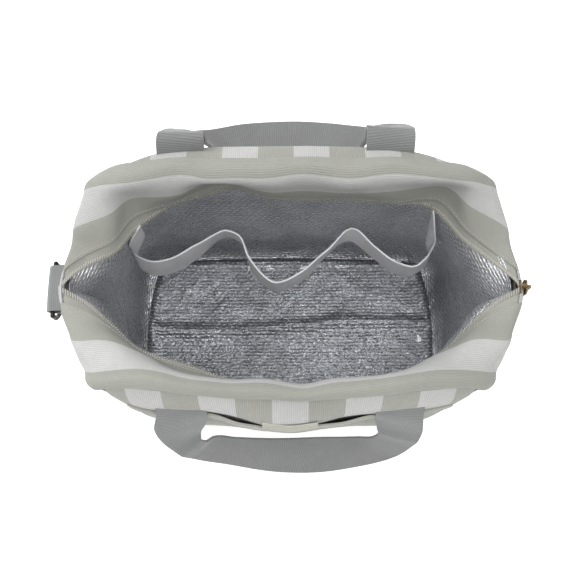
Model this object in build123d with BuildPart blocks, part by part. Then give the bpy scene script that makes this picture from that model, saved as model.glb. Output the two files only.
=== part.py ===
"""Insulated cooler bag, open: striped canvas box, foam, foil liner, zip flaps, handles and rings.

+X runs along the bag, -Y is the pocket side, +Z is up, and the bag stands on Z = 0. Millimetres.
"""

import os

from build123d import *

os.makedirs("parts", exist_ok=True)

# Driving dimensions
half_width = 116.0  # corner of the front and back panels
half_depth = 67.0
front_bulge = 16.0  # how far a panel bows out at its middle
back_bulge = 12.0
front_liner_bulge, back_liner_bulge = 10.0, 5.0  # foam and foil stay flatter than the canvas
front_height = 178.0  # the pocket side has slumped a little
back_height = 198.0
corner_radius = 26.0
side_height = 163.5
side_bulge = ((1.3, 4.0), (90.0, 20.0), (side_height, 31.0))  # height, bow of the side gusset
canvas, foam, foil = 1.0, 4.0, 0.8
gap = 0.1
web = 30.0  # webbing width
web_thick = 2.0
flap_half = 95.0  # half length of the part of the top that folds
flap_canvas = 1.2
handle_spacing = 130.0
handle_below = 23.0  # sewn ends below the rim
handle_reach = 72.0
ring_wire = 3.0
ring_half = 17.5
ring_drop = 21.0

foam_in = canvas + gap  # depth of each layer below the outer face
foil_in = foam_in + foam + gap
wall = foil_in + foil


def save(part, name):
    part.part.label = name
    export_step(part.part, f"parts/{name}.step")


def strip(p0, mid, p1, shift):
    """Closed outline between the arc p0-mid-p1 and the same arc moved by shift."""
    moved = [(p[0] + shift[0], p[1] + shift[1]) for p in (p0, mid, p1)]
    with BuildLine() as outline:
        ThreePointArc(p0, mid, p1)
        Line(p1, moved[2])
        ThreePointArc(moved[2], moved[1], moved[0])
        Line(moved[0], p0)
    return outline.edges()


def long_wall(name, sign, bulge, start, thick, half, low, high):
    """One layer of the front (-1) or back (+1) wall, bowed in plan and rounded at its top corners."""
    y0 = sign * (half_depth - start)
    with BuildPart() as layer:
        with BuildSketch(Plane.XY.offset(low)):
            make_face(strip((-half, y0), (0, y0 + sign * bulge), (half, y0), (0, -sign * thick)))
        extrude(amount=high - low)
        with BuildSketch(Plane.XZ.offset(-120)):
            for side in (-1, 1):
                x, z = side * half, high
                with BuildLine():
                    start, end = (x, z - corner_radius), (x - side * corner_radius, z)
                    RadiusArc(start, end, -side * 1.15 * corner_radius)
                    Polyline(end, (end[0], z + 3), (x + side * 3, z + 3), (x + side * 3, start[1]), start)
                make_face()
        extrude(amount=240, mode=Mode.SUBTRACT)
    save(layer, name)


def side_wall(name, sign, start, thick, reach, low, high):
    """One layer of a side gusset, nearly flat at the base and bowed out at the top."""
    x0 = sign * (half_width - start)
    with BuildPart() as layer:
        for z, bow in side_bulge:
            with BuildSketch(Plane.XY.offset(z)):
                make_face(strip((x0, -reach), (x0 + sign * bow, 0), (x0, reach), (-sign * thick, 0)))
        loft()
        with Locations((0, 0, (low + high) / 2)):
            Box(400, 200, high - low, mode=Mode.INTERSECT)
    save(layer, name)


def floor_layer(name, inset, low, thick, front_bow, back_bow):
    """One layer of the base, following the plan of the walls."""
    a, b = half_width - inset, half_depth - inset
    bow = side_bulge[0][1]
    with BuildPart() as layer:
        with BuildSketch(Plane.XY.offset(low)):
            with BuildLine():
                ThreePointArc((-a, -b), (0, -b - front_bow), (a, -b))
                ThreePointArc((a, -b), (a + bow, 0), (a, b))
                ThreePointArc((a, b), (0, b + back_bow), (-a, b))
                ThreePointArc((-a, b), (-a - bow, 0), (-a, -b))
            make_face()
        extrude(amount=thick)
    save(layer, name)


# Canvas shell, foam and foil liner
low_canvas = 1.3
low_foam = low_canvas + foam + gap
low_foil = low_foam + foil + gap
floor_layer("base_panel", 0.0, 0.0, 1.2, front_bulge, back_bulge)
floor_layer("foam_base", canvas + gap, low_canvas, foam, front_liner_bulge, back_liner_bulge)
floor_layer("liner_base", foil_in + 0.2, low_foam, foil, front_liner_bulge, back_liner_bulge)
for label, sign, bow, bulge, height in (
    ("front", -1, front_bulge, front_liner_bulge, front_height),
    ("back", 1, back_bulge, back_liner_bulge, back_height),
):
    long_wall(f"{label}_panel", sign, bow, 0.0, canvas, half_width, low_canvas, height)
    long_wall(f"foam_{label}", sign, bulge, foam_in, foam, half_width - 6.0, low_foam, height - 16.0)
    long_wall(f"liner_{label}", sign, bulge, foil_in, foil, half_width - 7.0, low_foil, height - 15.0)
for label, sign in (("left", -1), ("right", 1)):
    side_wall(f"side_{label}", sign, 0.0, canvas, half_depth - canvas - gap, low_canvas, side_height)
    side_wall(f"foam_{label}", sign, foam_in, foam, half_depth - wall + 0.5, low_foam, side_height - 3.5)
    side_wall(f"liner_{label}", sign, foil_in, foil, half_depth - wall - gap, low_foil, side_height - 0.5)

# Fixed ends of the top gusset: they close in from the sides to the ends of the zip
shoulder_low = side_height + gap
shoulder_y = half_depth - wall - 0.5
mouth_y = 36.0  # half mouth at the fold line
mouth_x = 141.0  # where the two halves of the zip meet
side_top = half_width + side_bulge[2][1]
for side, sx in (("left", -1), ("right", 1)):
    for label, sy in (("front", -1), ("back", 1)):
        with BuildPart() as shoulder:
            with BuildSketch(Plane.XY.offset(shoulder_low)):
                with BuildLine():
                    Line((sx * (flap_half + 0.4), sy * mouth_y), (sx * (flap_half + 0.4), sy * shoulder_y))
                    Line((sx * (flap_half + 0.4), sy * shoulder_y), (sx * (half_width + 3), sy * shoulder_y))
                    ThreePointArc(
                        (sx * (half_width + 3), sy * shoulder_y),
                        (sx * (half_width + 20.5), sy * 34),
                        (sx * (side_top - 3), sy * 6),
                    )
                    Line((sx * (side_top - 3), sy * 6), (sx * mouth_x, sy * 3))
                    Line((sx * mouth_x, sy * 3), (sx * (flap_half + 0.4), sy * mouth_y))
                make_face()
            extrude(amount=1.2)
        save(shoulder, f"shoulder_{label}_{side}")
    # Tape and coil of the zip where it runs over the shoulders
    with BuildPart() as zip_end:
        for sy in (-1, 1):
            with BuildSketch(Plane.XY.offset(shoulder_low + 1.3)):
                with BuildLine():
                    Polyline(
                        (sx * mouth_x, sy * 0.8),
                        (sx * (flap_half + 0.4), sy * (mouth_y - 2)),
                        (sx * (flap_half + 0.4), sy * (mouth_y + 7)),
                        (sx * (mouth_x + 2), sy * 6),
                        close=True,
                    )
                make_face()
            extrude(amount=0.8)
        with BuildSketch(Plane.XY.offset(shoulder_low + 1.3)):
            with Locations((sx * (mouth_x + 0.5), 0)):
                Rectangle(3, 12)
        extrude(amount=0.8)
    save(zip_end, f"zip_end_{side}")

# Folding flaps of the top, hanging down inside; each carries its half of the zip
flaps = (
    ("front", 1, (-68.0, 176.8), (-60.5, 149.0), (-58.5, 119.0)),
    ("back", -1, (66.0, 196.8), (59.5, 168.0), (58.0, 139.0)),
)
for label, inward, root, mid, tip in flaps:
    with BuildPart() as flap:
        with BuildSketch(Plane.YZ.offset(-flap_half)):
            make_face(strip(root, mid, tip, (inward * flap_canvas, 0)))
        extrude(amount=2 * flap_half)
    save(flap, f"top_flap_{label}")
    face = tip[0] + inward * (flap_canvas + 0.1)
    with BuildPart() as tape:
        with BuildSketch(Plane.YZ.offset(-flap_half)):
            with Locations((face + inward * 0.4, tip[1] - 1.5)):
                Rectangle(0.8, 13)
        extrude(amount=2 * flap_half)
    save(tape, f"zip_tape_{label}")
    with BuildPart() as coil:
        with BuildSketch(Plane.YZ.offset(-flap_half)):
            with Locations((face - inward * 0.85, tip[1] - 6.6)):
                RectangleRounded(1.5, 2.4, 0.6)
        extrude(amount=2 * flap_half)
    save(coil, f"zip_coil_{label}")

# Handles: sewn ends a little below the rim, and a U of webbing that swings about them
outer = handle_spacing / 2 + web / 2
for label, sy, bulge, root_height, drop in (
    ("front", -1, front_bulge, front_height - handle_below, 65.0),
    ("back", 1, back_bulge, back_height - handle_below, 55.0),
):
    face = half_depth + bulge * (1 - ((handle_spacing - web) / 2 / half_width) ** 2)
    for side, sx in (("left", -1), ("right", 1)):
        with BuildPart() as end:
            with Locations((sx * handle_spacing / 2, sy * (face + 2.2), root_height)):
                Box(web, 4.2, web_thick)
        save(end, f"handle_{label}_end_{side}")
    axis = (0, sy * (face + 5.7), root_height)
    swing = Plane(origin=axis, x_dir=(1, 0, 0), z_dir=Vector(0, 0, 1).rotate(Axis.X, -sy * drop))
    with BuildPart() as handle:
        with BuildSketch(swing):
            with BuildLine():
                Polyline((-outer, 0), (-outer, sy * (handle_reach - 24)))
                RadiusArc(
                    (-outer, sy * (handle_reach - 24)), (-outer + 24, sy * handle_reach), sy * 24
                )
                Line((-outer + 24, sy * handle_reach), (outer - 24, sy * handle_reach))
                RadiusArc((outer - 24, sy * handle_reach), (outer, sy * (handle_reach - 24)), sy * 24)
                Polyline(
                    (outer, sy * (handle_reach - 24)),
                    (outer, 0),
                    (outer - web, 0),
                    (outer - web, sy * (handle_reach - web - 6)),
                    (outer - web - 6, sy * (handle_reach - web)),
                    (web + 6 - outer, sy * (handle_reach - web)),
                    (web - outer, sy * (handle_reach - web - 6)),
                    (web - outer, 0),
                    (-outer, 0),
                )
            make_face()
        extrude(amount=web_thick / 2, both=True)
        for sx in (-1, 1):
            with BuildSketch(Plane.YZ.offset(sx * handle_spacing / 2 - web / 2)):
                with Locations((axis[1], axis[2])):
                    Circle(web_thick / 2)
            extrude(amount=web)
    save(handle, f"handle_{label}")

# Slip pocket over the lower front, its hem, and the folded label above it
pocket_half = 104.0
pocket_y = -half_depth - front_bulge * (1 - (pocket_half / half_width) ** 2) - 0.15
pocket_left, pocket_right = (-pocket_half, pocket_y), (pocket_half, pocket_y)
pocket_bow = 18.5
pocket_low, pocket_top = 8.0, 146.0
with BuildPart() as pocket:
    with BuildSketch(Plane.XY.offset(pocket_low)):
        make_face(strip(pocket_left, (0, pocket_y - pocket_bow), pocket_right, (0, -canvas)))
    extrude(amount=pocket_top - pocket_low)
    with BuildSketch(Plane.XY.offset(pocket_low)):
        with BuildLine():
            ThreePointArc(pocket_left, (0, pocket_y - pocket_bow - 0.5), pocket_right)
            ThreePointArc(pocket_right, (0, -half_depth - front_bulge - 0.3), pocket_left)
        make_face()
    extrude(amount=1.2)
save(pocket, "front_pocket")
hem_y = pocket_y - canvas - gap
with BuildPart() as hem:
    with BuildSketch(Plane.XY.offset(pocket_top - 12)):
        make_face(strip((-pocket_half, hem_y), (0, hem_y - pocket_bow), (pocket_half, hem_y), (0, -0.8)))
    extrude(amount=12)
save(hem, "pocket_hem")
with BuildPart() as label_tag:
    with Locations((0, -half_depth - front_bulge - 0.6, 154)):
        Box(35, 0.9, 10)
    fillet(label_tag.edges().filter_by(Axis.Y), 1.0)
save(label_tag, "label")

# Elastic band along the back of the liner, tacked at four places and bowed out between them
band_low, band_tall, band_thick = 60.0, 30.0, 1.2
tack_y = 63.6
with BuildPart() as band:
    with BuildSketch(Plane.XY.offset(band_low)):
        with BuildLine():
            ThreePointArc((-108, 56), (-90, 36), (-47, tack_y))
            Line((-47, tack_y), (-40, tack_y))
            ThreePointArc((-40, tack_y), (-8, 21), (43, tack_y))
            Line((43, tack_y), (50, tack_y))
            ThreePointArc((50, tack_y), (86, 33), (108, 56))
        trace(line_width=band_thick)
    extrude(amount=band_tall)
save(band, "elastic_band")

# Webbing tabs on the sides, each holding a ring
tabs = (("left", -1, 153.5, 152.0, 147.6), ("right", 1, 147.8, 112.0, 141.6))
for side, sx, bar, z, root in tabs:
    with BuildPart() as tab:
        with BuildSketch(Plane.XZ.offset(-web / 2)):
            with BuildLine():
                Polyline((sx * bar, z + 3.4), (sx * root, z + 5.5), (sx * root, z - 0.5), (sx * bar, z - 3.4))
                ThreePointArc((sx * bar, z - 3.4), (sx * (bar + 3.4), z), (sx * bar, z + 3.4))
            make_face()
            with Locations((sx * bar, z)):
                Circle(ring_wire / 2 + 0.4, mode=Mode.SUBTRACT)
        extrude(amount=web)
    save(tab, f"tab_{side}")
    with BuildPart() as ring:
        with BuildLine() as path:
            arc_top = z - ring_drop + 13
            Line((sx * bar, -ring_half, z), (sx * bar, -ring_half, arc_top))
            ThreePointArc(
                (sx * bar, -ring_half, arc_top), (sx * bar, 0, z - ring_drop), (sx * bar, ring_half, arc_top)
            )
            Line((sx * bar, ring_half, arc_top), (sx * bar, ring_half, z))
        with BuildSketch(Plane(origin=path.wires()[0] @ 0, z_dir=path.wires()[0] % 0)):
            Circle(ring_wire / 2)
        sweep()
        with BuildSketch(Plane.XZ.offset(-ring_half)):
            with Locations((sx * bar, z)):
                Circle(ring_wire / 2)
        extrude(amount=2 * ring_half)
        for y in (-ring_half, ring_half):
            with Locations((sx * bar, y, z)):
                Sphere(ring_wire / 2)
    save(ring, f"d_ring_{side}")

# Folded end of the zip on the right side, below the slider, with the last closed teeth
slide_x = 149.6
with BuildPart() as stop:
    with BuildSketch(Plane.XZ.offset(-12)):
        with BuildLine():
            Polyline((145.6, 150), (slide_x + 0.4, 150), (slide_x + 0.4, 138), (144.3, 138), close=True)
        make_face()
    extrude(amount=24)
    with Locations((slide_x + 0.3, 0, 144)):
        Box(1.8, 3.4, 12)
save(stop, "zip_stop")

# Slider: two plates joined by a wedge, with a bridge for the pull
slider_outline = ((-3.4, 150.6), (3.4, 150.6), (5.0, 158), (3.6, 162.4), (-3.6, 162.4), (-5.0, 158))
bridge_low, bridge_high = 152.6, 159.8
with BuildPart() as slider:
    for x in (slide_x - 2.2, slide_x + 1.4):
        with BuildSketch(Plane.YZ.offset(x)):
            with BuildLine():
                Polyline(*slider_outline, close=True)
            make_face()
        extrude(amount=1.0)
    with BuildSketch(Plane.YZ.offset(slide_x - 1.3)):
        with BuildLine():
            Polyline((0, 156.5), (1.6, 161.6), (-1.6, 161.6), close=True)
        make_face()
    extrude(amount=2.8)
    for z in (bridge_low, bridge_high):
        with Locations((slide_x + 3.4, 0, z)):
            Box(2.2, 2.0, 1.2)
    with Locations((slide_x + 4.6, 0, (bridge_low + bridge_high) / 2)):
        Box(1.2, 2.0, bridge_high - bridge_low + 1.2)
save(slider, "zip_slider")

# Pull: a bar under the bridge and a plate hanging down around its lower leg
pull_x, pull_z, pull_thick = slide_x + 3.2, 155.0, 0.9
with BuildPart() as pull:
    with BuildSketch(Plane.YZ.offset(pull_x - pull_thick / 2)):
        with Locations((0, pull_z - 12)):
            Rectangle(7.0, 24.0)
        with Locations((0, pull_z - 2.45)):
            Rectangle(3.0, 4.0, mode=Mode.SUBTRACT)
        with Locations((0, pull_z - 16)):
            RectangleRounded(3.0, 8.0, 1.4, mode=Mode.SUBTRACT)
    extrude(amount=pull_thick)
    with BuildSketch(Plane.XZ.offset(-3.5)):
        with Locations((pull_x, pull_z)):
            Circle(pull_thick / 2)
    extrude(amount=7.0)
save(pull, "zip_pull")
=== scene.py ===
"""Looks of the open cooler bag: canvas, foil liner, webbing handles, zip, elastic band and rings.

Shapes are worked out in millimetres in the CAD model's frame, and meshes are made in metres.
A sheet is a grid of points: a first direction along the piece, and a second one across it.
"""

from math import pi, radians

import bpy
import numpy as np
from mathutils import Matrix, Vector, noise


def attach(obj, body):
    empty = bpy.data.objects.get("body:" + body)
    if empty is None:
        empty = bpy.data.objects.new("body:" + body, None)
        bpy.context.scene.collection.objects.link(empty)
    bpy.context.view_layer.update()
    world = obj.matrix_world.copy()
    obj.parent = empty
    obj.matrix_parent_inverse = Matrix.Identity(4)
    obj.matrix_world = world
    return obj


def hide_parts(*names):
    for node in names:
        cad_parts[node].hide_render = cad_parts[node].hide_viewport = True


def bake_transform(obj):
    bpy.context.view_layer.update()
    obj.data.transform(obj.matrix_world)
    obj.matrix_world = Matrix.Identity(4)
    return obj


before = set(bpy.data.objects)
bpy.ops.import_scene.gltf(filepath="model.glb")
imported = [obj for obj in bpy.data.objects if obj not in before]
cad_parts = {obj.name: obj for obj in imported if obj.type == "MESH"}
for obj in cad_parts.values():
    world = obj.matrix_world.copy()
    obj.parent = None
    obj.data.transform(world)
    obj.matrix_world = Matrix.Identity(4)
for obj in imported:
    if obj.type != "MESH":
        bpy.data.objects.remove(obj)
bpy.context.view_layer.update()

MM = 0.001
STRIPE = 22.4  # width of one stripe
HALF_GUSSET = 78.0  # seam to zip edge, with the tape
CANVAS_EDGE = 67.2  # where the canvas ends on the tape
CANVAS = 1.0
TOOTH_PITCH = 1.7
WEB = 30.0


# ---------------------------------------------------------------- curves and grids
def unit(v):
    return v / np.maximum(np.linalg.norm(v, axis=-1, keepdims=True), 1e-9)


def chords(points):
    """Length along a chain of points, from its first one."""
    return np.concatenate([[0], np.cumsum(np.linalg.norm(np.diff(points, axis=0), axis=1))])


def through(knots, values, at):
    """Smooth curve that has the given values at the knots, read at other places."""
    knots, values = np.array(knots, float), np.array(values, float)
    step = np.diff(knots)[:, None]
    slope = np.diff(values, axis=0) / step
    inner = (slope[1:] * step[:-1] + slope[:-1] * step[1:]) / (step[1:] + step[:-1])
    tangent = np.vstack([slope[:1], inner, slope[-1:]])
    i = np.clip(np.searchsorted(knots, at, side="right") - 1, 0, len(knots) - 2)
    t, h = ((at - knots[i]) / step[i, 0])[:, None], step[i]
    start = values[i] * (1 + 2 * t) * (1 - t) ** 2 + tangent[i] * h * t * (1 - t) ** 2
    return start + values[i + 1] * t * t * (3 - 2 * t) + tangent[i + 1] * h * t * t * (t - 1)


def curve(points, count):
    """That many even points on a smooth curve through a few."""
    points = np.array(points, float)
    knots = chords(points)
    return through(knots, points, np.linspace(0, knots[-1], count))


def ease(t):
    t = np.clip(t, 0, 1)
    return t * t * (3 - 2 * t)


def normals_of(grid, wrap=False):
    along, across = np.gradient(grid, axis=0), np.gradient(grid, axis=1)
    if wrap:
        along = (np.roll(grid, -1, 0) - np.roll(grid, 1, 0)) / 2
    return unit(np.cross(along, across))


def waves(grid, size, seed):
    """Smooth noise from -1 to 1 over a grid."""
    points = grid.reshape(-1, 3) / size + seed * 13.7
    return np.array([noise.noise(Vector(p)) for p in points]).reshape(grid.shape[:2])


def creases(grid, size, seed):
    """Noise with sharp ridges, from 0 to 1, as in crumpled foil."""
    return 1 - np.minimum(np.abs(waves(grid, size, seed)) * 2.2, 1)


# ---------------------------------------------------------------- pieces
def add(name, mesh, materials):
    for m in materials:
        mesh.materials.append(m)
    obj = bpy.data.objects.new(name, mesh)
    bpy.context.scene.collection.objects.link(obj)
    return obj


def shell(name, grid, cloth, thick, materials, normals=None, wrap=False):
    """A sheet of cloth behind a grid of points. cloth says where each point is on the flat cloth."""
    normals = normals_of(grid, wrap) if normals is None else normals
    n, m = grid.shape[:2]
    count = n * m
    points = np.concatenate([grid.reshape(-1, 3), (grid - thick * normals).reshape(-1, 3)])
    ids = np.arange(count).reshape(n, m)
    if wrap:
        ids = np.vstack([ids, ids[:1]])
    faces = np.stack([ids[:-1, :-1], ids[1:, :-1], ids[1:, 1:], ids[:-1, 1:]], -1).reshape(-1, 4)
    edges = [ids[:, 0], ids[::-1, -1]] + ([] if wrap else [ids[0, ::-1], ids[-1]])
    rims = [np.stack([e[:-1], e[:-1] + count, e[1:] + count, e[1:]], -1) for e in edges]
    rims = np.concatenate(rims)
    mesh = bpy.data.meshes.new(name)
    every = np.concatenate([faces, faces[:, ::-1] + count, rims])
    mesh.from_pydata((points * MM).tolist(), [], every.tolist())
    flat = np.zeros((2 * count, 3))
    flat[:, :2] = np.tile(cloth.reshape(-1, 2), (2, 1))
    mesh.attributes.new("cloth", "FLOAT_VECTOR", "POINT").data.foreach_set("vector", flat.ravel())
    side = np.concatenate([normals.reshape(-1, 3), -normals.reshape(-1, 3)])
    rim_normals = np.cross(points[rims[:, 1]] - points[rims[:, 0]], points[rims[:, 2]] - points[rims[:, 1]])
    corner = np.concatenate([side[every[: -len(rims)].ravel()], np.repeat(unit(rim_normals), 4, axis=0)])
    mesh.normals_split_custom_set(corner.tolist())
    if len(materials) > 1:
        index = np.zeros(len(every), int)
        index[len(faces) : 2 * len(faces)] = 1
        mesh.polygons.foreach_set("material_index", index)
    return add(name, mesh, materials)


# A small bar with rounded ends, 2 long and 2 across, used for stitches and zip teeth
BAR_RINGS = ((-1.0, 0.45), (-0.72, 0.95), (0.0, 1.0), (0.72, 0.95), (1.0, 0.45))
BAR_SIDES = 8


def bars(name, centres, axes, sizes, material):
    """One mesh of many small rounded bars. axes are their three directions, sizes their half lengths."""
    angle = np.arange(BAR_SIDES) * 2 * pi / BAR_SIDES
    template = np.array([(x, r * np.cos(a), r * np.sin(a)) for x, r in BAR_RINGS for a in angle])
    ids = np.arange(len(template)).reshape(len(BAR_RINGS), BAR_SIDES)
    faces = [ids[0, ::-1].tolist(), ids[-1].tolist()]
    for a, b in zip(ids[:-1], ids[1:]):
        faces += np.stack([a, np.roll(a, -1), np.roll(b, -1), b], -1).tolist()
    every = []
    points = sum(template[None, :, k : k + 1] * axes[k][:, None] * sizes[k] for k in range(3))
    points = (points + centres[:, None]) * MM
    for k in range(len(centres)):
        every += [[i + k * len(template) for i in f] for f in faces]
    mesh = bpy.data.meshes.new(name)
    mesh.from_pydata(points.reshape(-1, 3).tolist(), [], every)
    mesh.polygons.foreach_set("use_smooth", [True] * len(every))
    return add(name, mesh, [material])


STITCH_PITCH, STITCH_LENGTH = 2.7, 1.9


def stitches(name, line, normals):
    """A row of stitches along a line of points on a sheet."""
    at = chords(line)
    places = np.arange(STITCH_PITCH / 2, at[-1], STITCH_PITCH)
    centres = np.stack([np.interp(places, at, line[:, k]) for k in range(3)], -1)
    up = unit(np.stack([np.interp(places, at, normals[:, k]) for k in range(3)], -1))
    tangent = np.gradient(line, axis=0)
    along = unit(np.stack([np.interp(places, at, tangent[:, k]) for k in range(3)], -1))
    axes = (along, unit(np.cross(up, along)), up)
    return bars(name, centres, axes, (STITCH_LENGTH / 2, 0.3, 0.22), thread)


# ---------------------------------------------------------------- materials
class Shade:
    """A material under construction. Each method adds a node and gives its output."""

    def __init__(self, name, roughness, **fixed):
        self.material = bpy.data.materials.new(name)
        self.material.use_nodes = True
        self.tree = self.material.node_tree
        self.shader = self.tree.nodes["Principled BSDF"]
        self.shader.inputs["Roughness"].default_value = roughness
        for socket, value in fixed.items():
            self.shader.inputs[socket.replace("_", " ")].default_value = value
        self.cloth = self.node("ShaderNodeAttribute", "Vector")
        self.cloth.node.attribute_name = "cloth"
        split = self.node("ShaderNodeSeparateXYZ", "X", Vector=self.cloth)
        self.x, self.y = split, split.node.outputs["Y"]
        self.place = self.node("ShaderNodeTexCoord", "Object")

    def node(self, kind, output, **inputs):
        made = self.tree.nodes.new(kind)
        for name, value in inputs.items():
            self.put(made.inputs[name.replace("_", " ")], value)
        return made.outputs[output]

    def put(self, socket, value):
        if isinstance(value, bpy.types.NodeSocket):
            self.tree.links.new(value, socket)
        else:
            socket.default_value = value

    def math(self, operation, *values):
        made = self.tree.nodes.new("ShaderNodeMath")
        made.operation = operation
        for socket, value in zip(made.inputs, values):
            self.put(socket, value)
        return made.outputs[0]

    def times(self, a, b):
        return self.math("MULTIPLY", a, b)

    def plus(self, a, b):
        return self.math("ADD", a, b)

    def noise(self, scale, detail=3.0, vector=None):
        """Noise with a size of about 1/scale metres."""
        vector = vector or self.place
        inputs = {"Vector": vector, "Scale": scale, "Detail": detail, "Roughness": 0.6}
        return self.node("ShaderNodeTexNoise", "Fac", **inputs)

    def wave(self, value, pitch, phase=0.0):
        """A sine from -1 to 1 that repeats every pitch."""
        return self.math("SINE", self.plus(self.times(value, 2 * pi / pitch), phase))

    def fit(self, value, low, high, to_low=0.0, to_high=1.0):
        made = self.tree.nodes.new("ShaderNodeMapRange")
        self.put(made.inputs["Value"], value)
        for name, number in zip(("From Min", "From Max", "To Min", "To Max"), (low, high, to_low, to_high)):
            made.inputs[name].default_value = number
        return made.outputs[0]

    def mix(self, factor, a, b):
        made = self.tree.nodes.new("ShaderNodeMix")
        made.data_type = "RGBA"
        self.put(made.inputs["Factor"], factor)
        for socket, value in ((made.inputs[6], a), (made.inputs[7], b)):
            self.put(socket, (*value, 1) if isinstance(value, tuple) else value)
        return made.outputs[2]

    def scaled(self, colour, value):
        """A colour made lighter or darker by a value near 1."""
        made = self.tree.nodes.new("ShaderNodeVectorMath")
        made.operation = "SCALE"
        self.put(made.inputs[0], colour)
        self.put(made.inputs["Scale"], value)
        return made.outputs[0]

    def finish(self, colour=None, height=None, depth=0.3, roughness=None):
        """Joins up the colour, the roughness, and a bump whose height is in depths of millimetres."""
        if colour is not None:
            self.put(self.shader.inputs["Base Color"], (*colour, 1) if isinstance(colour, tuple) else colour)
        if roughness is not None:
            self.put(self.shader.inputs["Roughness"], roughness)
        if height is not None:
            bump = self.node("ShaderNodeBump", "Normal", Height=height, Strength=1.0, Distance=depth * MM)
            self.put(self.shader.inputs["Normal"], bump)
        return self.material


RIB_PITCH, PICK_PITCH, WEAVE_DEPTH = 1.3, 0.95, 0.28


def woven(name, sage, white=None, seam=0.0):
    """Heavy canvas: ribs along the stripes crossed by finer picks, faded unevenly, with painted shade along
    the seam when seam is given.
    """
    s = Shade(name, 0.86, Sheen_Weight=0.12, Sheen_Roughness=0.5, Specular_IOR_Level=0.25)
    ribs, picks = s.wave(s.x, RIB_PITCH), s.wave(s.y, PICK_PITCH)
    weave = s.plus(s.times(ribs, 0.55), s.times(s.times(ribs, picks), 0.45))
    slubs = s.noise(900, 2, s.node("ShaderNodeMapping", "Vector", Vector=s.cloth, Scale=(0.002, 0.0003, 1)))
    colour = sage
    if white:
        place = s.math("FLOORED_MODULO", s.plus(s.x, s.times(s.plus(s.noise(500), -0.5), 0.5)), 2 * STRIPE)
        colour = s.mix(s.math("GREATER_THAN", place, STRIPE), sage, white)
    tone = s.plus(s.times(weave, 0.17), s.fit(slubs, 0.3, 0.7, -0.05, 0.05))
    fade = s.plus(s.fit(s.noise(14), 0.35, 0.65, 0.95, 1.03), s.fit(s.noise(130), 0.3, 0.7, -0.02, 0.02))
    colour = s.scaled(colour, s.plus(tone, fade))
    if seam:  # painted shade: the canvas darkens towards the seam to draw the shadow line under the roll
        colour = s.scaled(colour, s.fit(s.x, 0.4, seam, 0.3, 1.0))
    height = s.plus(s.times(weave, 0.5), s.times(s.noise(2200, 2), 0.4))
    return s.finish(colour, height, WEAVE_DEPTH, s.fit(s.noise(300), 0.3, 0.7, 0.8, 0.92))


def ribbed(name, colour, pitch, along=True, depth=0.3, contrast=0.1, sheen=0.2):
    """Webbing, elastic or tape: ribs across its length, with a fine yarn in each rib."""
    s = Shade(name, 0.8, Sheen_Weight=sheen, Sheen_Roughness=0.4, Specular_IOR_Level=0.3)
    main, cross = (s.y, s.x) if along else (s.x, s.y)
    ribs = s.wave(main, pitch)
    yarn = s.wave(s.plus(cross, s.times(main, 0.3)), pitch * 0.62)
    weave = s.plus(s.times(ribs, 0.7), s.times(s.times(ribs, yarn), 0.3))
    tone = s.plus(s.times(weave, contrast), s.fit(s.noise(60), 0.3, 0.7, 0.94, 1.04))
    tone = s.plus(tone, s.fit(s.noise(1500, 2), 0.3, 0.7, -0.04, 0.04))
    height = s.plus(s.times(weave, 0.5), s.times(s.noise(2500, 2), 0.3))
    return s.finish(s.scaled(colour, tone), height, depth)


FOIL_ROW, FOIL_DASH = 2.7, 4.2  # spacing of the raised rows, and of the dashes along a row


def foil_film(name, colour):
    """Embossed aluminised film: rows of small raised dashes, uneven and creased, with painted highlights on
    the dashes, painted shade between them and painted glints.
    """
    s = Shade(name, 0.3, Metallic=0.86)
    drift = s.times(s.plus(s.noise(70, 2), -0.5), 2.5)
    x, y = s.plus(s.x, drift), s.plus(s.y, drift)
    row = s.fit(s.wave(y, FOIL_ROW), -1, 1)
    shift = s.times(s.math("FLOORED_MODULO", s.math("FLOOR", s.times(y, 1 / FOIL_ROW)), 2), pi)
    dashes = s.times(row, s.fit(s.wave(x, FOIL_DASH, shift), -1, 1, 0.25, 1.0))
    uneven = s.fit(s.noise(380, 2), 0.35, 0.65, 0.25, 1.0)
    folds = s.node("ShaderNodeTexVoronoi", "Distance", Vector=s.place, Scale=120.0)
    folds.node.feature = "DISTANCE_TO_EDGE"
    height = s.plus(s.times(dashes, uneven), s.times(s.fit(folds, 0.0, 0.1), 0.25))
    height = s.plus(height, s.times(s.noise(600, 4), 1.1))
    # painted highlight and shade: the colour is lighter on the raised dashes and darker between them, on top
    # of uneven tone
    tone = s.plus(s.fit(s.noise(40), 0.3, 0.7, 0.8, 1.0), s.fit(dashes, 0.0, 1.0, -0.3, 0.4))
    # painted glints: scattered bright specks in the film's colour
    painted_glints = s.times(s.fit(s.noise(1000, 2), 0.55, 0.68), s.fit(s.noise(45, 2), 0.4, 0.65, 0.2, 1.3))
    colour = s.scaled(colour, s.plus(tone, painted_glints))
    return s.finish(colour, height, 0.5, s.fit(s.noise(420, 3), 0.3, 0.7, 0.24, 0.4))


def metal(name, colour, dark, roughness):
    """Plated metal, darker where it isn't rubbed, with fine scratches."""
    s = Shade(name, roughness, Metallic=1.0)
    worn = s.fit(s.noise(420, 4), 0.42, 0.62)
    scratches = s.node("ShaderNodeMapping", "Vector", Vector=s.place, Scale=(1, 1, 0.08))
    height = s.noise(5200, 2, scratches)
    uneven = s.fit(s.noise(900), 0.3, 0.7, roughness - 0.08, roughness + 0.14)
    return s.finish(s.mix(worn, dark, colour), height, 0.03, uneven)


def plastic(name, colour, roughness):
    s = Shade(name, roughness, Specular_IOR_Level=0.45)
    tone = s.fit(s.noise(700, 2), 0.3, 0.7, 0.92, 1.05)
    return s.finish(s.scaled(colour, tone), s.noise(3000, 2), 0.05)


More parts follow.
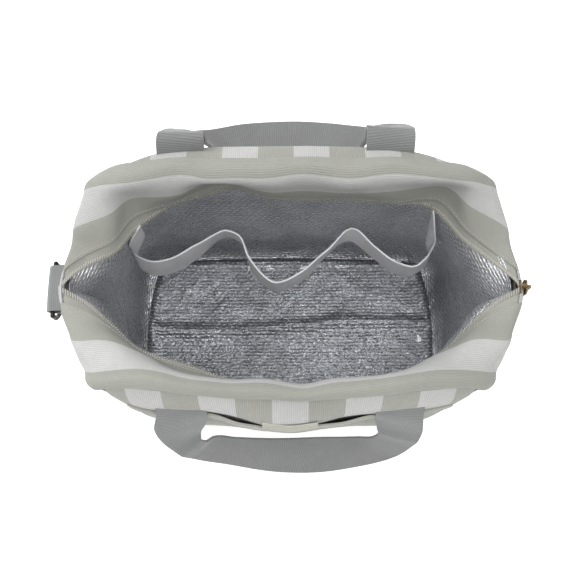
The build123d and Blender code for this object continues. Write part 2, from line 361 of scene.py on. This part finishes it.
SAGE, WHITE = (0.405, 0.408, 0.368), (0.6, 0.598, 0.59)
striped = woven("striped canvas", SAGE, WHITE)
# this copy has painted shade along its seam
striped_top_seam_shade = woven("striped canvas of the top with painted seam shade", SAGE, WHITE, seam=3.2)
sage = woven("sage canvas", SAGE)
hem_cloth = woven("hem canvas", (0.48, 0.48, 0.44))
# The liner is one film in two copies: the walls' copy is made light as painted light, the floor's copy dark as
# painted shade.
foil = foil_film("foil film", (0.85, 0.86, 0.89))
floor_foil_painted_shade = foil_film("foil film darkened as painted shade", (0.32, 0.33, 0.35))
webbing = ribbed("grey webbing", (0.25, 0.255, 0.255), 1.45, contrast=0.13, sheen=0.5)
tape_cloth = ribbed("zip tape", (0.41, 0.412, 0.37), 0.8, along=False, depth=0.15)
elastic = ribbed("white elastic", (0.9, 0.9, 0.92), 1.25, along=False, contrast=0.07)
label_cloth = ribbed("label cotton", (0.52, 0.515, 0.45), 0.7, depth=0.12, contrast=0.05)
thread = ribbed("sewing thread", (0.5, 0.5, 0.465), 0.6, depth=0.08, contrast=0.03)
teeth = plastic("zip coil", (0.48, 0.475, 0.43), 0.42)
brass = metal("antique brass", (0.3, 0.22, 0.12), (0.1, 0.07, 0.04), 0.36)
steel = metal("dark steel", (0.06, 0.06, 0.062), (0.02, 0.02, 0.021), 0.36)


# ---------------------------------------------------------------- camera, light and floor
def look_from(kind, name, place, aim):
    data = bpy.data.lights.new(name, "AREA") if kind == "light" else bpy.data.cameras.new(name)
    obj = bpy.data.objects.new(name, data)
    obj.location = place
    obj.rotation_euler = (Vector(aim) - Vector(place)).to_track_quat("-Z", "Y").to_euler()
    bpy.context.scene.collection.objects.link(obj)
    return obj


camera = look_from("camera", "camera", (0, -0.1305, 0.690), (0, 0, 0))
camera.rotation_euler = (radians(13.6), 0, 0)
camera.data.sensor_width = 36
camera.data.lens = 52.76
bpy.context.scene.camera = camera


def soft_box(name, place, aim, size, power):
    light = look_from("light", name, place, aim)
    light.data.size, light.data.energy = size, power


soft_box("key", (-0.95, 0.65, 1.15), (-0.02, 0.0, 0.12), 0.8, 9.5)
soft_box("top", (0.15, -0.1, 1.6), (0, 0, 0.1), 0.7, 10)
soft_box("front", (-0.35, -0.95, 1.25), (0, 0, 0.1), 0.8, 3)
world = bpy.data.worlds.new("studio")
bpy.context.scene.world = world
world.use_nodes = True
world.node_tree.nodes["Background"].inputs["Color"].default_value = (1, 1, 1, 1)
world.node_tree.nodes["Background"].inputs["Strength"].default_value = 0.4
bpy.context.scene.view_settings.view_transform = "Standard"  # keeps the white paper white

floor_mesh = bpy.data.meshes.new("floor")
floor_mesh.from_pydata([(-6, -6, 0), (6, -6, 0), (6, 6, 0), (-6, 6, 0)], [], [(0, 1, 2, 3)])
floor = bpy.data.objects.new("floor", floor_mesh)
bpy.context.scene.collection.objects.link(floor)
paper = Shade("white paper", 0.9, Emission_Color=(1, 1, 1, 1), Emission_Strength=0.55)
floor_mesh.materials.append(paper.finish(paper.mix(paper.noise(3), (0.95, 0.95, 0.95), (0.97, 0.97, 0.97))))


# ---------------------------------------------------------------- gusset: sides and zipped top
def wrapped(seam, edge, leave, arrive, length=HALF_GUSSET):
    """One row of the half gusset as a bow that leaves the seam and the zip edge in given directions."""
    seam, edge, leave, arrive = (np.array(v, float) for v in (seam, edge, leave, arrive))
    t = np.linspace(0, 1, 90)[:, None]
    low, high = 2.0, 75.0
    for _ in range(24):
        reach = (low + high) / 2
        a, b = seam + reach * unit(leave), edge + reach * unit(arrive)
        row = seam * (1 - t) ** 3 + a * 3 * t * (1 - t) ** 2 + b * 3 * t * t * (1 - t) + edge * t**3
        run = chords(row)
        low, high = (reach, high) if run[-1] < length else (low, reach)
    even = np.linspace(0, run[-1], ROW)
    return np.stack([np.interp(even, run, row[:, k]) for k in range(3)], -1)


def rolled(seam, sage_end, white_end, canvas_end, edge, bulge):
    """One row of the half gusset that rolls over above the seam and then hangs through its stripes' ends."""
    points = np.array([seam, sage_end, white_end, canvas_end, edge], float)
    chord = np.linalg.norm(points[1] - points[0])
    rise = chord * np.sqrt(0.375 * max(STRIPE / chord - 1, 0.02)) * unit(np.array(bulge, float))
    places = ((0.2, 0.8), (0.5, 1), (0.8, 0.8))  # how far along the chord, and how much of the rise
    roll = [points[0] * (1 - t) + points[1] * t + rise * part for t, part in places]
    knots = (0, 5.6, 11.2, 16.8, STRIPE, 2 * STRIPE, CANVAS_EDGE, HALF_GUSSET)
    return through(knots, [points[0], *roll, *points[1:]], np.arange(ROW))


BASE = 1.3
OVER_FRONT, OVER_BACK = (0, -0.5, 0.86), (0, 0.45, 0.89)  # the way the roll bulges over each rim
ROW = int(HALF_GUSSET) + 1  # points in a row, one to a millimetre
front_side = [
    wrapped((-116, -66, BASE), (-121, 0, BASE), (-0.95, 0.2, 0), (0, -1, 0), 68.5),
    wrapped((-116, -66, 60), (-131, 0, 60), (-0.95, 0.2, 0), (0, -1, 0), 70.5),
    wrapped((-116, -66, 115), (-141, 0, 115), (-0.95, 0.1, 0), (0, -1, 0), 75),
    wrapped((-116, -66, 152), (-147, 0, 160), (-0.9, -0.1, 0.1), (0, -1, 0), 77),
]
front_end = [
    rolled(
        (-114, -66.3, 166), (-124, -57, 171), (-134.5, -36.8, 168), (-129, -16.5, 158), (-131, -8, 155),
        (-0.45, -0.6, 0.55),
    ),
    rolled(
        (-104, -66.8, 175), (-109.2, -57.4, 180), (-112.3, -37.2, 170), (-114, -26, 155), (-113, -22, 146),
        (-0.4, -0.5, 0.75),
    ),
    rolled(
        (-88, -68.5, 178), (-91.7, -57, 185), (-95.3, -43, 168), (-99.7, -37.3, 150), (-101.5, -33, 141),
        (-0.05, -0.4, 0.9),
    ),
]
front_middle = [
    rolled(
        (-57, -71.5, 178.2), (-60.6, -62.9, 186), (-68, -56.2, 166), (-67.5, -50.8, 147), (-64.3, -47.2, 137),
        OVER_FRONT,
    ),
    rolled(
        (-36, -73.5, 178), (-36, -65, 185), (-36, -60, 163), (-36, -57, 141), (-36, -55.5, 130),
        OVER_FRONT,
    ),
    rolled(
        (-12, -74, 178), (-12, -65.5, 184.5), (-12, -61, 163), (-12, -60, 141), (-12, -59.5, 130),
        OVER_FRONT,
    ),
    rolled((6, -74, 178), (6, -68.5, 183.5), (6, -64, 162), (6, -61, 140), (6, -60, 129), (0, -0.6, 0.8)),
    rolled(
        (25, -74, 178), (25, -65.5, 184.5), (25, -61, 163), (25, -60, 141), (25, -59.5, 130),
        OVER_FRONT,
    ),
    rolled(
        (57, -71.5, 178.2), (58, -62, 186), (59, -58.5, 164), (60, -57, 142), (61, -56, 131),
        OVER_FRONT,
    ),
]
back_side = [
    wrapped((-116, 66.5, BASE), (-121, 0, BASE), (-0.95, -0.2, 0), (0, 1, 0), 68.5),
    wrapped((-116.2, 67, 60), (-131, 0, 60), (-0.95, -0.1, 0), (0, 1, 0), 70.5),
    wrapped((-116.3, 68, 115), (-141, 0, 115), (-0.95, 0.1, 0), (0, 1, 0), 76),
    wrapped((-116.5, 69, 156), (-147, 0, 160), (-0.88, 0.2, 0.1), (0, 1, 0), 80),
]
back_end = [
    rolled(
        (-116, 70, 173), (-132, 58.5, 176), (-138, 37, 168), (-132, 22, 158.5), (-134, 13, 156.5),
        (-0.6, 0.6, 0.4),
    ),
    rolled(
        (-107, 71, 188), (-119, 56.5, 192), (-114.6, 42.7, 178), (-115, 29, 162), (-115, 22.3, 153),
        (-0.35, 0.45, 0.82),
    ),
    rolled(
        (-90, 71.3, 195), (-100.5, 55.6, 199), (-101.5, 53.5, 177), (-102, 46, 160), (-98.7, 42.5, 150),
        (-0.1, 0.4, 0.9),
    ),
]
back_middle = [
    rolled(
        (-67, 71.5, 196), (-66.7, 60, 201), (-71, 55.2, 180), (-73, 58.5, 158), (-74, 59.3, 147.5),
        OVER_BACK,
    ),
    rolled((-50, 71.5, 196), (-50, 57.7, 201), (-49, 64.5, 179), (-53, 67, 157), (-54, 65, 147), OVER_BACK),
    rolled(
        (-34, 71.5, 196), (-34, 58.2, 201), (-35, 62.5, 179), (-36, 67.1, 160), (-36, 68, 151),
        OVER_BACK,
    ),
    rolled((-15, 71.5, 196), (-15, 58, 201), (-15, 57.2, 179), (-15, 61.5, 157), (-15, 64, 146), OVER_BACK),
    rolled((8, 71.5, 196), (8, 60.6, 201.5), (9, 58.5, 179.5), (8, 60.3, 158), (8, 62, 147), OVER_BACK),
    rolled((36, 71.5, 196), (36, 58, 201), (36, 56.5, 179), (36, 60.3, 157), (36, 61.6, 146), OVER_BACK),
    rolled((67, 71.5, 196), (67, 60.4, 201.5), (66, 57, 180), (69, 57.5, 158), (70, 59, 147), OVER_BACK),
]
right_front_edges = [(103, -34, 141), (116, -21, 146), (132, -8, 155), (148, 0, 160), None, None, None]
right_back_edges = [(93, 56, 148.5), (115, 31, 152), (136, 13, 156.5), (148, 0, 160), None, None, None]


def half_gusset(side, end, middle, right_edges, seed):
    """Dense grid of one half of the gusset from the base on the left, over the top, to the right."""
    left = side + end
    low_part = ease(np.arange(ROW)[:, None] / HALF_GUSSET)
    right = []
    for row, edge in zip(reversed(left), right_edges):
        row = row * (-1, 1, 1)
        right.append(row if edge is None else row + low_part * (edge - row[-1]))
    rows = np.array(left + middle + right)
    knots = (chords(rows[:, 0]) + chords(rows[:, -1])) / 2
    spans = [(0, knots[3]), (knots[3], knots[6]), (knots[6], knots[-7]), (knots[-7], knots[-4])]
    spans.append((knots[-4], knots[-1]))
    at, cuts = [], [0]
    for low, high in spans:
        steps = int((high - low) / 1.6)
        at += np.linspace(low, high, steps, endpoint=False).tolist()
        cuts.append(len(at))
    at.append(knots[-1])
    grid = through(knots, rows.reshape(len(rows), -1), np.array(at)).reshape(len(at), ROW, 3)
    hold = ease(np.arange(ROW) / 14)[None]  # the seam keeps its line
    push = waves(grid, 46, seed) * 1.0 + waves(grid, 19, seed + 1) * 0.5
    return grid + (push * hold)[..., None] * normals_of(grid), cuts


front_grid, front_cuts = half_gusset(front_side, front_end, front_middle, right_front_edges, 1)
back_grid, back_cuts = half_gusset(back_side, back_end, back_middle, right_back_edges, 2)


def cut(grid, normals, rows, low, high, count, lift=0.0):
    """Part of a half gusset, between two distances from the seam, lifted off its surface."""
    across = np.linspace(low, high, count)
    i = np.clip(across.astype(int), 0, grid.shape[1] - 2)
    t = (across - i)[None, :, None]
    piece, n = grid[rows], normals[rows]
    points = piece[:, i] * (1 - t) + piece[:, i + 1] * t
    n = unit(n[:, i] * (1 - t) + n[:, i + 1] * t)
    run = chords(piece[:, int(HALF_GUSSET) // 2])
    cloth = np.stack(np.broadcast_arrays(across[None], run[:, None]), -1)
    return points + lift * n, n, cloth


HINGES = {  # where the top bends in the middle, then at the ends: a place on the right and a direction
    "front": ((0, -66, 178.7), (0, -50, 166.7), (90, -66, 184), (11.7, 5.5, -5.5)),
    "back": ((0, 62, 194.4), (0, 45.8, 182.8), (102, 62, 198), (13.5, -4, -6)),
}


def bend(obj, half, part):
    """Bakes a piece of the top into place; the hinge line for its part is worked out here but not used."""
    start, end, corner, slant = (np.array(v, float) for v in HINGES[half])
    if part != "middle":
        side = -1 if part == "left" else 1
        start = corner * (side, 1, 1)
        end = start + slant * (-side, 1, 1)
    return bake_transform(obj)


def oriented(turn, points, n, cloth):
    """Turns a grid over where its own normals would point inwards."""
    return (points[::-1], n[::-1], cloth[::-1]) if turn < 0 else (points, n, cloth)


TAPE_UNDER, TAPE_THICK = 6.0, 0.6  # tape hidden under the canvas
TAPE_DROP = -CANVAS - 0.5  # the tape lies on the inner side of the canvas
TOOTH = (2.1, 0.72, 1.2)  # half lengths

for half, grid, cuts, turn in (("front", front_grid, front_cuts, 1), ("back", back_grid, back_cuts, -1)):
    normals = normals_of(grid) * turn
    for k, part in ((1, "left"), (2, "middle"), (3, "right")):
        rows = slice(cuts[k], cuts[k + 1] + 1)

        points, n, cloth = oriented(turn, *cut(grid, normals, rows, 0, CANVAS_EDGE, 44))
        top = shell(f"top_{half}_{part}", points, cloth, CANVAS, [striped_top_seam_shade, foil], n)
        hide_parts(f"top_flap_{half}" if part == "middle" else f"shoulder_{half}_{part}")
        bend(top, half, part)

        piece = cut(grid, normals, rows, CANVAS_EDGE - TAPE_UNDER, HALF_GUSSET, 14, TAPE_DROP)
        points, n, cloth = oriented(turn, *piece)
        tape = shell(f"tape_{half}_{part}", points, cloth, TAPE_THICK, [tape_cloth], n)
        if part == "middle":
            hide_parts(f"zip_tape_{half}")
        elif half == "front":
            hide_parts(f"zip_end_{part}")
        bend(tape, half, part)

        line, n, _ = cut(grid, normals, rows, CANVAS_EDGE - 2.2, CANVAS_EDGE - 1.2, 2, 0.1)
        bend(stitches(f"seam_{half}_{part}", line[:, 0], n[:, 0]), half, part)

        line, n, _ = cut(grid, normals, rows, HALF_GUSSET - 1.4, HALF_GUSSET, 2, TAPE_DROP)
        run = chords(line[:, 1])
        at = np.arange(1.0, run[-1], TOOTH_PITCH)
        centres, ends, up = (
            np.stack([np.interp(at, run, v[:, k]) for k in range(3)], -1)
            for v in (line[:, 0], line[:, 1], n[:, 1])
        )
        out = unit(ends - centres)
        axes = (out, unit(np.cross(unit(up), out)), unit(up))
        centres = centres - out * 0.4 + up * 0.1
        coil = bars(f"teeth_{half}_{part}", centres, axes, TOOTH, teeth)
        if part == "middle":
            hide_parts(f"zip_coil_{half}")
        bend(coil, half, part)

MIDDLE = 39  # column where the two halves of a side meet

for side, k in (("left", 0), ("right", 4)):
    front_rows = slice(front_cuts[k], front_cuts[k + 1] + 1 if k < 4 else None)
    back_rows = slice(back_cuts[k], back_cuts[k + 1] + 1 if k < 4 else None)
    a, na, ca = cut(front_grid, normals_of(front_grid), front_rows, 0, HALF_GUSSET, MIDDLE + 1)
    b, nb, cb = cut(back_grid, -normals_of(back_grid), back_rows, 0, HALF_GUSSET, MIDDLE + 1)
    count = min(len(a), len(b))
    pick_a, pick_b = (np.linspace(0, len(v) - 1, count).round().astype(int) for v in (a, b))
    points = np.concatenate([a[pick_a], b[pick_b][:, -2::-1]], axis=1)
    cloth = np.concatenate([ca[pick_a], cb[pick_b][:, -2::-1]], axis=1)
    n = np.concatenate([na[pick_a], nb[pick_b][:, -2::-1]], axis=1)
    n[:, MIDDLE] = unit(na[pick_a][:, -2] + nb[pick_b][:, -2])
    wall = shell(f"side_{side}_cloth", points, cloth, CANVAS, [striped, foil], n)
    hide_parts(f"side_{side}")
    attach(wall, "bag")


# ---------------------------------------------------------------- front and back panels, base, pocket
def front_face(x, z):
    """y of the front panel's outer face away from its seams."""
    centre = np.interp(z, (0, 20, 60, 85, 140, 178), (0.1, 0.17, 0.42, 0.55, 0.95, 0.9))
    width = 12 * np.interp(z, (0, 20, 60, 178), (0.6, 0.74, 1, 1))
    return -67 - width * (1 - np.abs(x / 117) ** 6) - 10.5 * np.exp(-((x / 32) ** 2)) * centre


def back_face(x, z):
    fullness = np.interp(z, (0, 60, 140, 186, 198), (0.6, 0.75, 0.95, 1.05, 1.0))
    return 67 + 18 * (1 - np.abs(x / 117) ** 4) * fullness


PANEL_ROWS = 84


def swell(grid, below_seam, seed):
    """Uneven fullness of a panel, which fades out at its seams."""
    inside = ease(np.minimum(116 - np.abs(grid[..., 0]), below_seam) / 22)
    return inside * (waves(grid, 42, seed) * 1.8 + waves(grid, 17, seed + 1) * 0.5)


def panel_grid(seam, face, rise):
    """Grid of a panel whose top edge is the seam line, from its left side to its right."""
    up = np.linspace(0, 1, PANEL_ROWS) ** 0.8  # rows lie closer together near the seam
    x_low = seam[:, 0] * 116 / abs(seam[0, 0])
    x = x_low[:, None] + (seam[:, 0] - x_low)[:, None] * up
    z = BASE + (seam[:, 2] - BASE)[:, None] * up
    near = 1 - (1 - np.clip((seam[:, 2, None] - z) / rise, 0, 1)) ** 2
    y = seam[:, 1, None] * (1 - near) + face(x, z) * near
    return np.stack([x, y, z], -1)


front_seam = front_grid[front_cuts[1] : front_cuts[4] + 1, 0]
back_seam = back_grid[back_cuts[1] : back_cuts[4] + 1, 0]
for name, seam, face, rise, turn, offset, seed in (
    ("front", front_seam, front_face, 25, 1, 78.1, 5),
    ("back", back_seam, back_face, 12, -1, 64.9, 6),
):
    grid = panel_grid(seam, face, rise)
    grid[..., 1] += swell(grid, seam[:, 2, None] - grid[..., 2], seed)
    cloth = np.stack([grid[..., 0] + offset, grid[..., 2]], -1)
    if turn < 0:
        grid, cloth = grid[::-1], cloth[::-1]
    panel = shell(f"panel_{name}", grid, cloth, CANVAS, [striped, foil])
    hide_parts(f"{name}_panel")
    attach(panel, "bag")

a, b = np.meshgrid(np.linspace(-1, 1, 60), np.linspace(-1, 1, 40), indexing="ij")
x = a * (115.5 + 5 * (1 - b * b))
low, high = front_face(a * 115.5, 2) + 0.6, back_face(a * 115.5, 2) - 0.6
edge = 1 - np.maximum(np.abs(a), np.abs(b))
grid = np.stack([x, low + (high - low) * (b + 1) / 2, 0.15 + 0.5 * np.exp(-edge / 0.015)], -1)
cloth = np.stack([grid[..., 0] + 78.1, grid[..., 1]], -1)
base = shell("base_cloth", grid[:, ::-1], cloth[:, ::-1], -1.0, [striped])
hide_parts("base_panel")
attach(base, "bag")

# The pocket gapes a little between the label and each handle
POCKET_HALF, POCKET_LOW, POCKET_TOP, HEM = 104.0, 8.0, 146.0, 12.0
POCKET_ROWS = 70


def pocket_face(x, z):
    gape = np.exp(-(((np.abs(x) - 34) / 12) ** 2)) * ease((z - 105) / 40) * 2.4
    snug = 0.5 + gape
    return front_face(x, z) - snug * ease((POCKET_HALF + 2 - np.abs(x)) / 8)


across, up = np.linspace(-POCKET_HALF, POCKET_HALF, 130), np.linspace(POCKET_LOW, POCKET_TOP, POCKET_ROWS)
x, z = np.meshgrid(across, up, indexing="ij")
behind = np.stack([x, front_face(x, z), z], -1)
grid = np.stack([x, pocket_face(x, z) + swell(behind, 178 - z, 5) - 0.5, z], -1)
grid[..., 1] += ease((POCKET_HALF - np.abs(x)) / 30) * (waves(grid, 38, 8) * 0.4 - 0.4)
pocket_normals = normals_of(grid)
pocket = shell("pocket", grid, np.stack([x, z], -1), CANVAS, [sage])
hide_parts("front_pocket")
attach(pocket, "bag")
rows = slice(int(POCKET_ROWS * (1 - HEM / (POCKET_TOP - POCKET_LOW))), POCKET_ROWS)
hem_grid = grid[:, rows] + 0.9 * pocket_normals[:, rows]
hem_grid[:, -1] -= 1.2 * pocket_normals[:, -1]
hem = shell("hem", hem_grid, np.stack([z, x], -1)[:, rows], 0.8, [hem_cloth])
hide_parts("pocket_hem")
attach(hem, "bag")
line = hem_grid[:, 1] + 0.05 * pocket_normals[:, -1]
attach(stitches("hem_stitches", line, pocket_normals[:, -4]), "bag")


# ---------------------------------------------------------------- foil liner
# Columns of points down the wall: behind the flap, at the zip edge, half way down, at the floor
front_columns = [
    ((-124, -43, 158), (-130, -12, 150), (-124, -26, 75), (-109, -29, 7)),
    ((-104, -60, 166), (-110, -30, 141), (-113, -56, 75), (-108, -54, 7)),
    ((-88, -65, 170), (-92, -46, 134), (-98, -64, 75), (-98, -63, 7)),
    ((-60, -69.5, 172), (-60, -60, 121), (-62, -67, 68), (-62, -66, 7)),
    ((0, -71, 172), (0, -65, 109), (0, -68, 62), (0, -67, 7)),
]
back_columns = [
    ((-86, 67, 188), (-90, 63, 138), (-96, 62.5, 78), (-96, 55, 7)),
    ((-103, 64, 179), (-109, 42, 145), (-113, 50, 78), (-109, 47, 7)),
    ((-123, 45, 164), (-130, 15, 150), (-123, 26, 78), (-109, 27, 7)),
]
back_centre = [
    ((36, 68, 190), (36, 68, 134), (36, 64.5, 78), (36, 57.5, 7)),
    ((0, 68, 190), (0, 68.5, 134), (0, 64.5, 78), (0, 57.5, 7)),
    ((-38, 68, 190), (-38, 73, 138), (-38, 64.5, 78), (-38, 57.5, 7)),
]
left_end = ((-143, 0, 156), (-142, 0, 152), (-126, 0, 75), (-109, 0, 7))
mirror = np.array([-1, 1, 1])
front_columns, back_columns = np.array(front_columns, float), np.array(back_columns, float)
loop = np.concatenate(
    [
        [np.array(left_end, float)],
        front_columns,
        front_columns[-2::-1] * mirror,
        [np.array(left_end, float) * mirror],
        back_columns[::-1] * mirror,
        back_centre,
        back_columns,
    ]
)


def closed(values, count):
    """Even points round a closed smooth curve."""
    ring = np.concatenate([values[-2:], values, values[:3]])
    knots = chords(ring)
    at = np.linspace(knots[2], knots[2 + len(values)], count, endpoint=False)
    return through(knots, ring, at)


AROUND, DOWN = 340, 96
levels = np.stack([closed(loop[:, k], AROUND) for k in range(4)], 1)
grid = np.empty((AROUND, DOWN, 3))
for i, column in enumerate(levels):
    knots = chords(column)
    inward = unit(np.array([0, 0, 0]) - column[3]) * (1, 1, 0)
    column = np.concatenate([column, [column[3] + inward * 5 + (0, 0, -0.4)]])
    knots = np.concatenate([knots, [knots[-1] + 5]])
    grid[i] = through(knots, column, np.linspace(0, knots[-1], DOWN))
normals = normals_of(grid, wrap=True)
fall = np.linspace(0, 1, DOWN)[None]
free = ease((fall - 0.24) / 0.1) * (1 - 0.6 * ease((fall - 0.9) / 0.1))
dents = creases(grid, 36, 11) * 1.6 + creases(grid, 15, 12) * 0.7 + creases(grid, 6.5, 13) * 0.3 - 1.2
sag = waves(grid, 60, 14) * 1.2
grid = grid + ((dents + sag) * free)[..., None] * normals
run = np.linspace(0, 640, AROUND)
cloth = np.stack(np.broadcast_arrays(run[:, None], fall * 190), -1)
walls = shell("liner_walls", grid[::-1], cloth[::-1], 0.5, [foil], wrap=True)
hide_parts("liner_front", "liner_back", "liner_left", "liner_right")
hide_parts("foam_front", "foam_back", "foam_left", "foam_right")
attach(walls, "bag")

a, b = np.meshgrid(np.linspace(-1, 1, 190), np.linspace(-1, 1, 120), indexing="ij")
round_a, round_b = a * np.sqrt(1 - b * b * 0.16), b * np.sqrt(1 - a * a * 0.12)
x, y = 115 * round_a, -5.5 + 66 * round_b
edge = 1 - np.maximum(np.abs(a), np.abs(b))
grid = np.stack([x, y, np.full_like(x, 6.4)], -1)
ridge = 2.6 * np.exp(-(((y - 4 - 4 * np.sin(x / 40)) / 5) ** 2))
height = creases(grid, 34, 21) * 0.9 + creases(grid, 13, 22) * 0.5 + creases(grid, 6, 23) * 0.25
height = (height + ridge) * ease(edge / 0.06) + 5.5 * np.exp(-edge / 0.03)
grid[..., 2] += height
cloth = np.stack([x, y], -1)
tray = shell("liner_floor", grid, cloth, 0.5, [floor_foil_painted_shade])
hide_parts("liner_base", "foam_base")
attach(tray, "bag")


# ---------------------------------------------------------------- elastic band
ELASTIC_WIDE = 30.0
elastic_line = [
    (-100.5, 44.3, 140), (-107, 37.5, 129), (-110.5, 35, 113), (-107, 32.5, 93), (-98, 33, 80),
    (-86, 37.5, 75), (-68, 49, 75), (-46, 61, 76), (-38, 57, 76), (-30, 38, 75), (-11, 20.5, 74),
    (7.5, 27.5, 74), (26, 44.6, 75), (46, 60.5, 76), (62, 47.7, 75), (79, 35, 75), (91, 32, 76),
    (99, 36, 82), (102.5, 41, 97), (99, 46.5, 120), (96.5, 53, 142),
]
line = curve(elastic_line, 240)
tilt = waves(line[None], 40, 31)[0]
away = unit(np.cross(np.gradient(line, axis=0), (0, 0, 1)))
across = np.linspace(-ELASTIC_WIDE / 2, ELASTIC_WIDE / 2, 13)
grid = line[:, None] + np.array([0, 0, 1]) * across[None, :, None]
grid = grid + away[:, None] * (tilt[:, None] * across[None] * 0.22)[..., None]
cloth = np.stack(np.broadcast_arrays(across[None], chords(line)[:, None]), -1)
band = shell("elastic", grid, cloth, 1.2, [elastic])
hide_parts("elastic_band")
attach(band, "bag")


# ---------------------------------------------------------------- webbing handles and tabs
def ribbon(name, one_edge, other_edge, count=170, thick=1.8, crown=0.5, folds=(), seed=40):
    """Webbing between two edge lines, crowned across. A fold joins two places, one on each edge."""
    one, other = curve(one_edge, count), curve(other_edge, count)
    t = np.linspace(0, 1, 15)[None, :, None]
    grid = one[:, None] * (1 - t) + other[:, None] * t
    middle = (one + other) / 2
    grid = grid + normals_of(grid) * (crown * (1 - (2 * t - 1) ** 2))
    grid = grid + normals_of(grid) * (waves(grid, 30, seed) * 0.8)[..., None]
    place = np.linspace(0, 1, count)[:, None] * chords(middle)[-1]
    for on_one, on_other in folds:
        gap = np.abs(place - (on_one * (1 - t[..., 0]) + on_other * t[..., 0]) * chords(middle)[-1])
        grid = grid + normals_of(grid) * (1.1 * np.maximum(1 - gap / 7, 0) ** 1.3)[..., None]
    cloth = np.stack(np.broadcast_arrays(np.linspace(0, WEB, 15)[None], chords(middle)[:, None]), -1)
    return shell(name, grid, cloth, thick, [webbing]), chords(middle)[-1]


handles = {  # outer edge, then inner edge
    "front": (
        [
            (-84, -77, 158), (-84, -81, 153), (-87, -89.7, 140), (-76, -102.5, 118), (-41, -110.3, 101),
            (0, -115.3, 95), (41, -112.2, 99), (73, -104, 112), (84.6, -93.6, 132), (84, -81, 153),
            (84, -77, 158),
        ],
        [
            (-52, -76, 158), (-52, -80, 154), (-54, -86, 142), (-58, -91, 129), (-57.5, -95.5, 123.5),
            (-54.5, -96.3, 122), (-49.5, -93.6, 121.5), (-36, -94, 119), (-13, -94, 116), (26, -93.3, 116),
            (45, -93.2, 119), (54, -93.6, 123), (57.5, -91.6, 128), (56, -87.5, 135), (54.5, -83.5, 143),
            (54, -80.5, 154), (54, -76.5, 158),
        ],
    ),
    "back": (
        [
            (-84, 76, 173), (-84, 81, 192), (-83.5, 86, 197), (-80, 94, 189), (-71, 101, 174),
            (-57, 107, 161), (-33, 115, 153), (0, 118.5, 150), (26, 116.5, 152), (52, 111, 158),
            (66, 106, 172), (77, 97, 188), (78.5, 90.5, 196), (78.5, 82, 191), (78.5, 77, 173),
        ],
        [
            (-54, 78, 173), (-54, 83, 192), (-54, 87.5, 197.5), (-54.5, 92, 187), (-54, 92, 174),
            (-50, 91, 162), (-28, 90, 152), (0, 90, 151), (26, 90, 153), (44, 91, 162), (48.5, 93, 174),
            (48.5, 95, 189), (48, 92.5, 196), (48, 84, 192), (48, 79, 173),
        ],
    ),
}
FOLDS = {"front": ((0.213, 0.2), (0.862, 0.842)), "back": ((0.25, 0.22), (0.7, 0.744))}
for half, (outer, inner) in handles.items():
    handle, length = ribbon(f"handle_{half}_webbing", outer, inner, folds=FOLDS[half])
    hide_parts(f"handle_{half}", f"handle_{half}_end_left", f"handle_{half}_end_right")
    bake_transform(handle)

TABS = {  # outline of the folded tab from its upper root, round the bar, to its lower root
    "left": [
        (-145.5, 158.8), (-150, 157.6), (-155, 155.6), (-157, 152), (-155, 148.6), (-150, 147), (-144.5, 146),
    ],
    "right": [
        (140.5, 119), (144.5, 117.6), (149.3, 115.6), (151.2, 112), (149.3, 108.6), (144.5, 107), (139.5, 106),
    ],
}
for side, outline in TABS.items():
    path = outline if side == "right" else outline[::-1]
    one = [(x, -WEB / 2, z) for x, z in path]
    other = [(x, WEB / 2, z) for x, z in path]
    tab, length = ribbon(f"tab_{side}_webbing", one, other, 60, 1.4, 0.2, seed=44)
    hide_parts(f"tab_{side}")
    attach(tab, "bag")


# ---------------------------------------------------------------- label, zip end and metal
LABEL_HALF = 17.5
x, t = np.meshgrid(np.linspace(-LABEL_HALF, LABEL_HALF, 30), np.linspace(0, 1, 14), indexing="ij")
depth = -88.6 - 2.4 * (1 - t) ** 1.5 - 0.4 * np.cos(x / 5) + (x / LABEL_HALF) ** 2 * 1.2
grid = np.stack([x, depth, 149.5 + 9 * t], -1)
label = shell("label_cloth", grid, np.stack([x, 12 * t], -1), 0.8, [label_cloth])
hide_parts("label")
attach(label, "bag")

a, b = np.meshgrid(np.linspace(-1, 1, 24), np.linspace(0, 1, 20), indexing="ij")
puff = 2.4 * (1 - a**4) * np.sin(pi * np.clip(b * 0.9 + 0.08, 0, 1)) ** 0.5
grid = np.stack([144.6 + 2.2 * b + puff, 12 * a, 137.5 + 13 * b], -1)
stop = shell("zip_end_fold", grid, np.stack([12 * a, 13 * b], -1), 1.2, [tape_cloth])
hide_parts("zip_stop")
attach(stop, "bag")

smooth = bpy.data.node_groups.new("smooth shading", "GeometryNodeTree")
smooth.interface.new_socket("Geometry", in_out="INPUT", socket_type="NodeSocketGeometry")
smooth.interface.new_socket("Geometry", in_out="OUTPUT", socket_type="NodeSocketGeometry")
steps = [smooth.nodes.new(k) for k in ("NodeGroupInput", "GeometryNodeSetShadeSmooth", "NodeGroupOutput")]
smooth.links.new(steps[0].outputs[0], steps[1].inputs[0])
smooth.links.new(steps[1].outputs[0], steps[2].inputs[0])

METAL = {"zip_slider": brass, "zip_pull": brass, "d_ring_left": steel, "d_ring_right": steel}
for node, finish in METAL.items():
    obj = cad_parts[node]
    for slot in obj.material_slots:
        slot.material = finish
    bevel = obj.modifiers.new("soft edges", "BEVEL")
    bevel.width, bevel.segments, bevel.limit_method, bevel.harden_normals = 0.35 * MM, 2, "ANGLE", True
    obj.modifiers.new("smooth", "NODES").node_group = smooth
